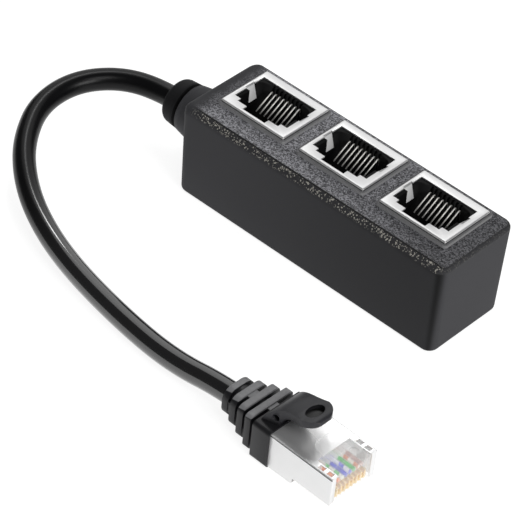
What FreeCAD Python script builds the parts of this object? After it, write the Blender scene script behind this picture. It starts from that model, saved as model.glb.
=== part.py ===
"""Three-way network splitter: a moulded housing with three sockets, a short lead and a shielded plug.

Millimetres. X runs along the housing, Y across it, Z up. The origin is the centre of the housing's
bottom face, the sockets open upwards, and the lead leaves at the -X end and comes round to the -Y side.
"""
import math
import os

import FreeCAD, Part
from FreeCAD import Placement, Rotation, Vector

# Housing
housing_end_margin = 4.85   # from the outer sockets to the housing's ends, on average
housing_width = 21.2
housing_height = 21.2
side_draft = 0.4            # how much each side steps in by at the bottom
corner_radius = 2.2
soft_edge_radius = 1.9      # along the top of the cable end and of the side that the lead comes round to
top_edge_radius = 1.0       # along the other top edges
bottom_edge_radius = 1.0
plinth_height = 0.8
plinth_margin = 0.5
plinth_corner_radius = 0.8
plinth_edge_radius = 0.2
plinth_root = 0.5           # how deep the plinths reach into the block

# Collar round the lead, as distances out from the housing's end
collar_axis_height = housing_height / 2
collar_length = 10.7
collar_root_radius = 6.05
collar_root_fillet = 1.6
collar_waist_radius = 5.15
collar_ring_radius = 5.0
collar_lip_radius = 4.8
collar_lip_at = 9.4
collar_mouth_radius = 3.3
groove_at = 6.7
groove_width = 0.8
groove_depth = 0.75

# Sockets
socket_count = 3
socket_pitch = 20.2
socket_row_shift = 0.4      # the middle socket's distance from the housing's middle, along X
socket_row_offset = 1.7     # the row's distance from the housing's middle, along Y
shield_length = 16.3
shield_width = 13.2
shield_height = 15.5
shield_proud = 0.5          # how far the shield's face stands above the plinth
shield_sheet = 0.3
shield_fold_radius = 0.35
mouth_shift = -0.3          # the mouth's distance from the shield's middle, along X
mouth_length = 13.6
mouth_near = 2.85           # distances from the shield's near edge, across the mouth
mouth_far = 11.2
step_length = 10.5
step_near = 1.95
notch_length = 5.7
notch_near = 0.75
spring_width = 2.2
spring_middle = 7.45
spring_slot = 0.45          # how far the springs' slots reach out past the mouth
spring_slot_ease = 0.1
spring_drop = 3.4
spring_reach = 1.2
cavity_length = 12.1
cavity_far = 10.15          # the comb's wall, which shows between the cavity and the mouth's far edge
cavity_depth = 12.6
cavity_ease = 0.1           # the moulded cavity is wider than the mouth's steps by this
spring_recess = 4.2

# Contact wires
contact_count = 8
contact_pitch = 1.02
contact_size = 0.3
contact_bend = 0.45
contact_pin_near = 10.5     # where the upright leg stands, from the shield's near edge
contact_tip_near = 5.65
contact_top_depth = 0.6
contact_tip_depth = 3.4
contact_tail = 0.9
comb_slot_width = 0.52
comb_slot_ease = 0.2        # behind the upright legs

# Circuit board and the leads that reach it
board_overhang = 0.4        # how far the board reaches past the shields, along Y
board_thickness = 1.6
board_end_gaps = (2.4, 3.0)     # from the housing's cable end and its other end to the board
hole_radius = 0.33
solder_space = 1.4
solder_margin = 0.8         # the board rests on this much of its rim
lead_radius = 0.3
lead_pitch = 1.1
leads_per_row = 4
lead_rows = (0.5, -0.5)     # heights of the two rows of leads above and below the collar's axis
lead_row_gaps = (0.75, 1.95)    # from the first shield back to where each row turns down
lead_bend = 0.5
lead_tail = 0.7

# Cable
cable_diameter = 4.6
bore_ease = 0.05
cable_in_collar = 6.7       # how far the jacket reaches into the collar

# Plug, as distances back from its nose and up from its contact face
plug_nose_at = (47.0, -48.7)
plug_turn = -1.5            # degrees about Z
plug_width = 11.6
plug_sheet = 0.25
plug_height = 6.2
plug_length = 18.2
heel_start = 9.2
heel_depth = 1.2
nose_chamfer = 0.3
wire_row_height = 3.35
wire_radius = 0.4
wire_ring_radius = 1.5
wire_end_gap = 1.1          # between the wires' bores and the nose
wire_end_ease = 0.05        # between a wire's end and the end of its bore
wire_start_run = 1.0        # a wire's straight stretch where it leaves the jacket
wire_bend = 1.6
wire_straight_from = 9.4
jacket_in_plug = 1.7
blade_thickness = 0.3
blade_slot_ease = 0.03
blade_length = 4.1
blade_recess = 0.25
blade_top = 2.85
blade_chamfers = (0.5, 1.0)     # at the nose and at the heel
guide_front = 4.8
guide_back = 8.4
guide_half_width = 4.5
guide_bottom = 2.35
guide_top = 4.5
guide_slot_width = 0.9
guide_ease = 0.1            # between the guide's back and the cable's room
wire_bore_ease = 0.02
room_half_width = 4.6
room_bottom = -0.2
room_top = 5.4

# Latch on the plug
latch_root = 1.6
latch_root_length = 1.5
latch_slope = 15.0          # degrees
latch_length = 9.8
latch_thickness = 0.9
latch_shoulder_at = 5.4
latch_shoulder_thickness = 1.5
latch_root_width = 7.4
latch_shoulder_width = 6.0
latch_arm_width = 3.4
latch_tip_width = 3.0
latch_sink = 0.1            # how far the latch's foot reaches into the moulding
latch_lap = (1.0, 0.5)      # how far the arm reaches back into the shoulders, above and below
latch_lap_height = 0.6      # the arm's height there
latch_tip_chamfer = (0.4, 0.35)     # along the arm and down its end

# Openings in the plug's metal shield
shield_top_front = 5.2
shield_strip_inner = 4.15
shield_lip_inner = 4.6
lip_gap = 0.25              # between each front lip and the nose
lip_gap_depth = 1.2
lip_inset = 0.05            # how far the front lips stay inside the shield's sides
window_length = 1.3
window_backs = (1.9, 3.9)
window_inner = 4.4
window_outer = 5.4

# Boot, its ribs and the hood over the latch
boot_front = 15.0
boot_wall = 0.4
boot_back_wall = 0.9        # behind the plug's shell
block_corner_radius = 0.9
rib_count = 4
rib_length = 1.4
slot_length = 1.1
rib_half_widths = (5.5, 3.5)     # first and last rib
rib_half_heights = (4.0, 3.15)
rib_corner_radii = (0.9, 2.4)
boot_core_radius = 3.0
web_half_thickness = 1.2
web_inset = 0.12            # how far the webs lie below the ribs they join
web_overlap = 0.3
hood_root_front = 15.3
hood_crest_back = 12.9
hood_crest_rise = 4.7       # above the block
hood_tip_back = 7.4
hood_tip_rise = 5.4
hood_thickness = 1.4
hood_rise_share = 0.64      # of the crest's rise, reached halfway up the strap's top
hood_under_share = 0.6      # likewise on its underside
hood_crown_share = 0.65     # how far the strap has come from the crest's level to the tip's, halfway along
hood_root_half_width = 5.4
hood_waist_half_width = 3.3
hood_waist_back = 13.8
hood_half_width = 3.6
hood_widest_back = 10.3
hood_tip_curve = (0.27, 0.72)   # where the tip's outline passes, back and across, as shares of its half width
hood_hole_half_length = 1.4
hood_hole_half_width = 2.1
hood_hole_back = 10.3
hood_hole_depth = 0.9
hood_eye_radius = 0.7
hood_eye_back = 16.0
hood_eye_rise = 1.6

# Cable route: points between the collar's mouth and the boot, closer together in the tight bend
route_middle = [
    (-55.2, -3.4, 10.8), (-60.9, -11.2, 10.5), (-61.3, -20.7, 9.4), (-56.6, -29.1, 7.9), (-50.3, -35.1, 6.4),
    (-41.9, -40.0, 4.7), (-30.2, -43.8, 3.0), (-14.0, -46.8, 2.4), (2.7, -48.7, 2.6),
]
route_collar_run = 9.2      # from the jacket's end to the first bend
route_boot_run = 14.0       # from the last bend to the jacket's other end
arc_share = 0.45            # share of the shorter run that a bend takes

# Levels and places that follow from the sizes above
housing_length = (socket_count - 1) * socket_pitch + shield_length + 2 * housing_end_margin
board_length = housing_length - sum(board_end_gaps)
board_width = shield_width + 2 * board_overhang
board_start = -housing_length / 2 + board_end_gaps[0]
block_length = plug_length + boot_back_wall - boot_front
boot_length = block_length + rib_count * (slot_length + rib_length)
face_level = housing_height + plinth_height + shield_proud
board_top = face_level - shield_height
board_bottom = board_top - board_thickness
end_wall_x = -(housing_length - side_draft) / 2
jacket_end_x = end_wall_x - collar_length + cable_in_collar
cable_radius = cable_diameter / 2
bore_radius = cable_radius + bore_ease
plug_half = plug_width / 2
plug_body_half = plug_half - plug_sheet
shield_top_outer = plug_height + plug_sheet
heel_outer = -heel_depth - plug_sheet
boot_bottom = heel_outer - boot_wall
plug_axis_height = (shield_top_outer + heel_outer) / 2
plug_base_level = -boot_bottom
block_back = boot_front + block_length
block_top = shield_top_outer + boot_wall


def box(x0, x1, y0, y1, z0, z1):
    """A block between two corners."""
    return Part.makeBox(x1 - x0, y1 - y0, z1 - z0, Vector(x0, y0, z0))


def fuse(shapes):
    """One solid made of shapes that touch or overlap."""
    shapes = list(shapes)
    return shapes[0].multiFuse(shapes[1:]).removeSplitter()


def cut(shape, tools):
    """The shape less every tool."""
    return shape.cut(list(tools))


def prism(points, direction):
    """An outline of points, pushed along a direction."""
    corners = [Vector(*p) for p in points]
    return Part.Face(Part.makePolygon(corners + corners[:1])).extrude(Vector(*direction))


def rounded_outline(half_a, half_b, radius, place):
    """A rounded rectangle; place turns the flat coordinates (a, b) into a point."""
    spots = [(half_a, half_b, 0), (-half_a, half_b, 90), (-half_a, -half_b, 180), (half_a, -half_b, 270)]
    edges = []
    arcs = []
    for a, b, start in spots:
        centre = (a - math.copysign(radius, a), b - math.copysign(radius, b))
        ends = []
        for angle in (start, start + 45, start + 90):
            t = math.radians(angle)
            ends.append(place(centre[0] + radius * math.cos(t), centre[1] + radius * math.sin(t)))
        arcs.append(ends)
    for arc, following in zip(arcs, arcs[1:] + arcs[:1]):
        edges.append(Part.Arc(*arc).toShape())
        if arc[2].distanceToPoint(following[0]) > 1e-6:
            edges.append(Part.LineSegment(arc[2], following[0]).toShape())
    return Part.Wire(edges)


def rounded_block(half_a, half_b, radius, place, push):
    """A rounded rectangle pushed into a block."""
    return Part.Face(rounded_outline(half_a, half_b, radius, place)).extrude(push)


def bent_path(points, radii):
    """Straight runs joined by tangent arcs; one radius for each inner point."""
    points = [Vector(*p) for p in points]
    edges = []
    start = points[0]
    for before, corner, after, radius in zip(points, points[1:], points[2:], radii):
        inwards = (before - corner).normalize()
        onwards = (after - corner).normalize()
        half_turn = (math.pi - inwards.getAngle(onwards)) / 2
        tangent = radius * math.tan(half_turn)
        arc_start = corner + inwards * tangent
        arc_end = corner + onwards * tangent
        bisector = (inwards + onwards).normalize()
        arc_middle = corner + bisector * (radius / math.cos(half_turn) - radius)
        edges.append(Part.LineSegment(start, arc_start).toShape())
        edges.append(Part.Arc(arc_start, arc_middle, arc_end).toShape())
        start = arc_end
    edges.append(Part.LineSegment(start, points[-1]).toShape())
    return Part.Wire(edges)


def round_wire(points, radii, radius):
    """A round wire along a bent path."""
    path = bent_path(points, radii)
    start = Vector(*points[0])
    circle = Part.makeCircle(radius, start, Vector(*points[1]) - start)
    return path.makePipeShell([Part.Wire(circle)], True, False)


def cable_route():
    """The points that the cable's axis bends between, from the housing to the plug."""
    jacket_end = plug_length - jacket_in_plug
    start = [(jacket_end_x, 0, collar_axis_height), (jacket_end_x - route_collar_run, 0, collar_axis_height)]
    end = [plug_point(back, 0, plug_axis_height) for back in (jacket_end + route_boot_run, jacket_end)]
    return start + route_middle + end


def bend_radii(points):
    """A radius for each inner point, as large as its two runs allow."""
    points = [Vector(*p) for p in points]
    radii = []
    for before, corner, after in zip(points, points[1:], points[2:]):
        turn = (corner - before).getAngle(after - corner)
        shorter = min((corner - before).Length, (after - corner).Length)
        radii.append(arc_share * shorter / math.tan(turn / 2))
    return radii


def cable_tube(radius):
    """A tube along the cable's route: the jacket itself, or the hole that is moulded round it."""
    points = cable_route()
    return round_wire(points, bend_radii(points), radius)


def square_wire(points, radii, size):
    """A square wire along a bent path that keeps to one plane of constant X and starts upright."""
    path = bent_path(points, radii)
    x, y, z = points[0]
    half = size / 2
    corners = [Vector(x - half, y - half, z), Vector(x + half, y - half, z),
               Vector(x + half, y + half, z), Vector(x - half, y + half, z)]
    return path.makePipeShell([Part.makePolygon(corners + corners[:1])], True, False)


def spread(count, pitch):
    """Evenly spaced places about zero."""
    return [(index - (count - 1) / 2) * pitch for index in range(count)]


socket_places = [socket_row_shift + offset for offset in spread(socket_count, socket_pitch)]
socket_near_edge = socket_row_offset - shield_width / 2
contact_places = spread(contact_count, contact_pitch)


def housing_block():
    """The drafted block with its soft edges."""
    def rectangle(half_x, half_y, z):
        corners = [Vector(sx * half_x, sy * half_y, z) for sx, sy in ((-1, -1), (1, -1), (1, 1), (-1, 1))]
        return Part.makePolygon(corners + corners[:1])

    foot = rectangle(housing_length / 2 - side_draft, housing_width / 2 - side_draft, 0)
    brim = rectangle(housing_length / 2, housing_width / 2, housing_height)
    block = Part.makeLoft([foot, brim], True, True)
    uprights = [e for e in block.Edges if e.BoundBox.ZLength > housing_height / 2]
    block = block.makeFillet(corner_radius, uprights)
    foot_rim = [e for e in block.Edges if e.BoundBox.ZMax < 1e-4]
    block = block.makeFillet(bottom_edge_radius, foot_rim)
    return soft_top(block)


def soft_top(block):
    """Rounds the block's top edges, two of them more than the others, changing along the corners."""
    sheet = FreeCAD.newDocument("housing")
    base = sheet.addObject("Part::Feature", "block")
    base.Shape = block
    rounding = sheet.addObject("Part::Fillet", "top_edges")
    rounding.Base = base
    front = -housing_width / 2 + 1e-3
    cable_end = -housing_length / 2 + 1e-3
    radii = []
    for number, edge in enumerate(block.Edges, 1):
        if edge.BoundBox.ZMin < housing_height - 1e-4:
            continue
        ends = []
        for parameter in (edge.FirstParameter, edge.LastParameter):
            spot = edge.valueAt(parameter)
            soft = spot.y < front or spot.x < cable_end
            ends.append(soft_edge_radius if soft else top_edge_radius)
        radii.append((number, ends[0], ends[1]))
    rounding.Edges = radii
    sheet.recompute()
    shape = rounding.Shape.copy()
    FreeCAD.closeDocument(sheet.Name)
    return shape


def collar():
    """The boss that the lead comes out of, turned about its axis, with one ring groove."""
    def at(distance, radius):
        return Vector(end_wall_x - distance, 0, collar_axis_height + radius)

    fillet = collar_root_fillet
    slant = fillet * math.sin(math.radians(45))
    flare = collar_root_radius + fillet
    inside = -side_draft - fillet
    rounding = collar_length - collar_lip_at
    lip_drop = collar_lip_radius - collar_mouth_radius
    corners = [
        at(fillet, collar_root_radius), at(groove_at - groove_width / 2, collar_waist_radius),
        at(groove_at - groove_width / 2, collar_waist_radius - groove_depth),
        at(groove_at + groove_width / 2, collar_waist_radius - groove_depth),
        at(groove_at + groove_width / 2, collar_ring_radius), at(collar_lip_at, collar_lip_radius),
    ]
    edges = [
        Part.LineSegment(at(inside, 0), at(inside, flare)),
        Part.LineSegment(at(inside, flare), at(0, flare)),
        Part.Arc(at(0, flare), at(fillet - slant, flare - slant), corners[0]),
    ]
    edges += [Part.LineSegment(a, b) for a, b in zip(corners, corners[1:])]
    edges += [
        Part.Arc(corners[-1], at(collar_lip_at + 0.75 * rounding, collar_lip_radius - 0.35 * lip_drop),
                 at(collar_length, collar_mouth_radius)),
        Part.LineSegment(at(collar_length, collar_mouth_radius), at(collar_length, 0)),
        Part.LineSegment(at(collar_length, 0), at(inside, 0)),
    ]
    profile = Part.Face(Part.Wire([e.toShape() for e in edges]))
    return profile.revolve(Vector(0, 0, collar_axis_height), Vector(1, 0, 0), 360)


def plinth(x):
    """The raised surround of one socket."""
    half_x = shield_length / 2 + plinth_margin
    half_y = shield_width / 2 + plinth_margin
    base = housing_height - plinth_root
    block = rounded_block(half_x, half_y, plinth_corner_radius,
                          lambda a, b: Vector(x + a, socket_row_offset + b, base),
                          Vector(0, 0, plinth_height + plinth_root))
    top = housing_height + plinth_height
    rim = [e for e in block.Edges if abs(e.BoundBox.ZMin - top) < 1e-4]
    return block.makeFillet(plinth_edge_radius, rim)


def housing_overmould():
    """Block, collar and plinths in one moulding, with the room for what it was moulded round."""
    solid = fuse([housing_block(), collar()] + [plinth(x) for x in socket_places])
    pockets = [box(x - shield_length / 2, x + shield_length / 2, socket_near_edge,
                   socket_near_edge + shield_width, board_top, face_level + 1) for x in socket_places]
    board_y = socket_row_offset + board_width / 2
    board_end = board_start + board_length
    board_room = box(board_start, board_end, board_y - board_width, board_y, board_bottom, board_top)
    rim = solder_margin
    solder_room = box(board_start, board_end - rim, board_y - board_width + rim, board_y - rim,
                      board_bottom - solder_space, board_bottom)
    lead_room = box(jacket_end_x, socket_places[0] - shield_length / 2, -cable_radius, cable_radius,
                    board_top, collar_axis_height + cable_radius)
    return cut(solid, pockets + [board_room, solder_room, lead_room, cable_tube(bore_radius)])


def mouth_outline(x, level, far_edge, main, step, notch, ease):
    """The stepped outline that lets a plug in one way round: body, key and latch channel."""
    x += mouth_shift
    far = socket_near_edge + far_edge
    rows = ((main, mouth_near - ease), (step, step_near - ease), (notch, notch_near))
    right = [(x + main / 2, far, level)]
    for (width, near), following in zip(rows, rows[1:] + ((None, None),)):
        right.append((x + width / 2, socket_near_edge + near, level))
        if following[0]:
            right.append((x + following[0] / 2, socket_near_edge + near, level))
    left = [(2 * x - px, py, pz) for px, py, pz in reversed(right)]
    return right + left


def socket_shield(x):
    """A folded sheet shell: face with the stepped mouth, four walls and two sprung tabs."""
    y0, y1 = socket_near_edge, socket_near_edge + shield_width
    outer = box(x - shield_length / 2, x + shield_length / 2, y0, y1, board_top, face_level)
    folds = [e for e in outer.Edges if e.BoundBox.ZMax > board_top + 1e-4]
    outer = outer.makeFillet(shield_fold_radius, folds)
    sheet = shield_sheet
    inner = box(x - shield_length / 2 + sheet, x + shield_length / 2 - sheet, y0 + sheet, y1 - sheet,
                board_top - 1, face_level - sheet)
    outline = mouth_outline(x, face_level - 2 * sheet, mouth_far, mouth_length, step_length,
                            notch_length, 0)
    mouth = prism(outline, (0, 0, 3 * sheet))
    x += mouth_shift
    reach = mouth_length / 2 + spring_slot
    tab_y = y0 + spring_middle - spring_width / 2
    slots = box(x - reach, x + reach, tab_y - spring_slot_ease, tab_y + spring_width + spring_slot_ease,
                face_level - 2 * sheet, face_level + 1)
    shell = cut(outer, [inner, mouth, slots])
    profile = [(0, 0), (-sheet, -0.8 * sheet), (-spring_reach, -spring_drop),
               (-spring_reach + sheet, -spring_drop), (0, -sheet)]
    tabs = []
    for side in (-1, 1):
        corners = [(x + side * (reach + dx), tab_y, face_level + dz) for dx, dz in profile]
        tabs.append(prism(corners, (0, spring_width, 0)))
    return fuse([shell] + tabs)


def socket_insert(x):
    """The black moulding inside one shield, with the plug's cavity and the comb for the contacts."""
    sheet = shield_sheet
    y0, y1 = socket_near_edge, socket_near_edge + shield_width
    top = face_level - sheet
    half_length = shield_length / 2 - sheet
    block = box(x - half_length, x + half_length, y0 + sheet, y1 - sheet, board_top, top)
    outline = mouth_outline(x, face_level - cavity_depth, cavity_far, cavity_length,
                            step_length + 2 * cavity_ease, notch_length + 2 * cavity_ease, cavity_ease)
    tools = [prism(outline, (0, 0, cavity_depth))]
    x += mouth_shift
    half = mouth_length / 2 + spring_slot + cavity_ease
    tools.append(box(x - half, x + half, y0 + spring_middle - spring_width / 2 - cavity_ease,
                     y0 + spring_middle + spring_width / 2 + cavity_ease, face_level - spring_recess, top))
    slot_half = comb_slot_width / 2
    slot_far = contact_pin_near + contact_size / 2 + comb_slot_ease
    for place in contact_places:
        tools.append(box(x + place - slot_half, x + place + slot_half, y0 + cavity_far - cavity_ease,
                         y0 + slot_far, board_top, face_level))
    return cut(block, tools)


def contact(x):
    """One sprung contact: a pin through the board, an upright leg and an arm that slopes into the mouth."""
    pin_y = socket_near_edge + contact_pin_near
    points = [(x, pin_y, board_bottom - contact_tail), (x, pin_y, face_level - contact_top_depth),
              (x, socket_near_edge + contact_tip_near, face_level - contact_tip_depth)]
    return square_wire(points, [contact_bend], contact_size)


def lead_places():
    """Where each inner lead lies and where it turns down: (x, y, z)."""
    first_shield = socket_places[0] - shield_length / 2
    return [(first_shield - gap, y, collar_axis_height + row)
            for row, gap in zip(lead_rows, lead_row_gaps) for y in spread(leads_per_row, lead_pitch)]


def circuit_board():
    """The board that carries the three sockets, drilled for their pins and the leads."""
    y1 = socket_row_offset + board_width / 2
    board = box(board_start, board_start + board_length, y1 - board_width, y1, board_bottom, board_top)
    spots = [(x + mouth_shift + place, socket_near_edge + contact_pin_near)
             for x in socket_places for place in contact_places]
    spots += [(px, py) for px, py, _ in lead_places()]
    drill = board_thickness + 2
    below = board_bottom - 1
    return cut(board, [Part.makeCylinder(hole_radius, drill, Vector(px, py, below)) for px, py in spots])


def inner_leads():
    """Eight thin leads from the end of the jacket down to the board."""
    leads = []
    for x, y, z in lead_places():
        points = [(jacket_end_x, y, z), (x, y, z), (x, y, board_bottom - lead_tail)]
        leads.append(round_wire(points, [lead_bend], lead_radius))
    return Part.makeCompound(leads)


plug_pose = Placement(Vector(plug_nose_at[0], plug_nose_at[1], plug_base_level),
                      Rotation(Vector(0, 0, 1), plug_turn))


def at_plug(shape):
    """A shape drawn in the plug's own axes, nose at zero and back along -X, set where the plug lies."""
    placed = shape.copy()
    placed.Placement = plug_pose.multiply(placed.Placement)
    return placed


def plug_point(back, across, up):
    """A point of the plug's own axes in the housing's axes."""
    return tuple(plug_pose.multVec(Vector(-back, across, up)))


def latch():
    """The sprung lever moulded on the plug: a wide root, two shoulders and a narrow arm."""
    rise = math.tan(math.radians(latch_slope))
    end = latch_root + latch_length
    shoulder = latch_root + latch_shoulder_at
    base = plug_height - latch_sink
    top_lap, bottom_lap = (shoulder - lap for lap in latch_lap)
    tip_along, tip_down = latch_tip_chamfer

    def line(back, lift):
        return (-back, 0, base + lift + rise * (back - latch_root))

    wide = prism([(-latch_root, 0, base), line(latch_root, latch_thickness + latch_sink),
                  line(shoulder, latch_shoulder_thickness), line(shoulder, 0),
                  (-latch_root - latch_root_length, 0, base)], (0, latch_root_width, 0))
    arm = prism([line(top_lap, latch_thickness - latch_lap_height), line(top_lap, latch_thickness),
                 line(end - tip_along, latch_thickness), line(end, latch_thickness - tip_down), line(end, 0),
                 line(bottom_lap, 0)], (0, latch_root_width, 0))
    lever = fuse([wide, arm])
    lever.translate(Vector(0, -latch_root_width / 2, 0))
    half = [(latch_root, latch_root_width), (shoulder, latch_shoulder_width),
            (shoulder, latch_arm_width), (end, latch_tip_width)]
    right = [(-back, width / 2, base - 1) for back, width in half]
    left = [(-back, -width / 2, base - 1) for back, width in reversed(half)]
    return lever.common(prism(right + left, (0, 0, plug_height + latch_length)))


def plug_body():
    """The clear moulding: nose, deeper heel, latch, blade slots, the wire channel and the cable's room."""
    chamfer = nose_chamfer
    profile = [(-chamfer, 0), (-heel_start, 0), (-heel_start, -heel_depth),
               (-plug_length, -heel_depth), (-plug_length, plug_height), (-chamfer, plug_height),
               (0, plug_height - chamfer), (0, chamfer)]
    block = prism([(px, -plug_body_half, pz) for px, pz in profile], (0, 2 * plug_body_half, 0))
    body = fuse([block, latch()])
    tools = []
    for side in (-1, 1):
        y0, y1 = sorted((side * shield_lip_inner, side * (plug_body_half + 1)))
        tools.append(box(-plug_sheet, 1, y0, y1, -1, plug_height + 1))
        y0, y1 = sorted((side * (shield_lip_inner - lip_gap), side * shield_lip_inner))
        tools.append(box(-lip_gap_depth, 1, y0, y1, -1, plug_height + 1))
    slot_half = blade_thickness / 2 + blade_slot_ease
    slot_top = blade_top + blade_slot_ease
    slot_back = -blade_recess - blade_length - blade_slot_ease
    bore_half = wire_radius + wire_bore_ease
    room_front = -guide_back - guide_ease
    for place in contact_places:
        tools.append(box(slot_back, 1, place - slot_half, place + slot_half, -1, slot_top))
        tools.append(box(-guide_front, -wire_end_gap, place - bore_half, place + bore_half,
                         blade_top, wire_row_height + bore_half))
    tools.append(box(room_front, -guide_front, -guide_half_width, guide_half_width, guide_bottom, guide_top))
    tools.append(box(-plug_length - 1, room_front, -room_half_width, room_half_width, room_bottom, room_top))
    return cut(body, tools)


def plug_shield():
    """The folded metal jacket of the plug, open over the contacts and round the latch's root."""
    half, inner = plug_half, plug_body_half
    front = box(-heel_start, 0, -half, half, 0, shield_top_outer)
    heel = box(-plug_length, -heel_start, -half, half, heel_outer, shield_top_outer)
    outer = fuse([front, heel])
    folds = [e for e in outer.Edges if e.BoundBox.ZMin > plug_height and e.BoundBox.XLength > 1]
    outer = outer.makeFillet(plug_sheet * 0.9, folds)
    tools = [
        box(-heel_start - 1, 1, -inner, inner, heel_outer - 1, plug_height),
        box(-plug_length - 1, -heel_start, -inner, inner, -heel_depth, plug_height),
        box(-shield_top_front, 1, -shield_strip_inner, shield_strip_inner, plug_height - 1, plug_height + 1),
    ]
    tools[0] = tools[0].cut(box(-plug_length, -heel_start, -half, half, heel_outer - 1, -heel_depth))
    for back in window_backs:
        for side in (-1, 1):
            y0, y1 = sorted((side * window_inner, side * window_outer))
            tools.append(box(-back, -back + window_length, y0, y1, plug_height - 1, plug_height + 1))
    shell = cut(outer, tools)
    lips = []
    for side in (-1, 1):
        y0, y1 = sorted((side * shield_lip_inner, side * (half - lip_inset)))
        lips.append(box(-plug_sheet, 0, y0, y1, nose_chamfer, plug_height + plug_sheet / 2))
    return fuse([shell] + lips)


def plug_blade(place):
    """One gold blade, with the rounded nose that meets the socket's contact wire."""
    front, back = -blade_recess, -blade_recess - blade_length
    low = blade_recess
    nose, heel = blade_chamfers
    profile = [(front, low + nose), (front, blade_top), (back, blade_top), (back, low + heel),
               (back + heel, low), (front - nose, low)]
    return prism([(px, place - blade_thickness / 2, pz) for px, pz in profile], (0, blade_thickness, 0))


def wire_guide():
    """The bar that keeps the eight wires in a row behind the blades."""
    front = -guide_front - guide_ease / 2
    bar = box(-guide_back, front, -guide_half_width, guide_half_width, guide_bottom, guide_top)
    floor = wire_row_height - wire_radius - wire_bore_ease
    return cut(bar, [box(-guide_back - 1, 0, place - guide_slot_width / 2, place + guide_slot_width / 2,
                         floor, guide_top + 1) for place in contact_places])


def wire_starts():
    """Where the wires leave the jacket: one in the middle and the rest in a ring, from side to side."""
    ring_count = contact_count - 1
    turns = [math.radians(90 + k * 360 / ring_count) for k in range(ring_count)]
    ring = [(wire_ring_radius * math.cos(turn), wire_ring_radius * math.sin(turn)) for turn in turns]
    return sorted([(round(y, 6), round(z, 6)) for y, z in ring] + [(0.0, 0.0)])


def plug_wire(place, start):
    """One insulated wire from the jacket's end to the nose."""
    jacket_end = plug_length - jacket_in_plug
    y, z = start
    wire_end = wire_end_gap + wire_end_ease
    points = [(-jacket_end, y, plug_axis_height + z), (-jacket_end + wire_start_run, y, plug_axis_height + z),
              (-wire_straight_from, place, wire_row_height), (-wire_end, place, wire_row_height)]
    return round_wire(points, [wire_bend, wire_bend], wire_radius)


def boot_rib(index):
    """One rib of the boot; the ribs get smaller and rounder towards the cable."""
    share = index / (rib_count - 1)
    half_width = rib_half_widths[0] + share * (rib_half_widths[1] - rib_half_widths[0])
    half_height = rib_half_heights[0] + share * (rib_half_heights[1] - rib_half_heights[0])
    radius = rib_corner_radii[0] + share * (rib_corner_radii[1] - rib_corner_radii[0])
    front = block_back + slot_length + index * (rib_length + slot_length)
    return rounded_block(half_width, half_height, radius,
                         lambda a, b: Vector(-front, a, plug_axis_height + b), Vector(-rib_length, 0, 0))


def boot_webs(index):
    """The bridges across one slot: above and below in one slot, at the sides in the next."""
    share = min(1, (index + 0.5) / (rib_count - 1))
    reach_y = rib_half_widths[0] + share * (rib_half_widths[1] - rib_half_widths[0]) - web_inset
    reach_z = rib_half_heights[0] + share * (rib_half_heights[1] - rib_half_heights[0]) - web_inset
    front = block_back + index * (rib_length + slot_length)
    x0, x1 = -front - slot_length - web_overlap, -front + web_overlap
    if index % 2 == 0:
        return box(x0, x1, -web_half_thickness, web_half_thickness,
                   plug_axis_height - reach_z, plug_axis_height + reach_z)
    return box(x0, x1, -reach_y, reach_y,
               plug_axis_height - web_half_thickness, plug_axis_height + web_half_thickness)


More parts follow.
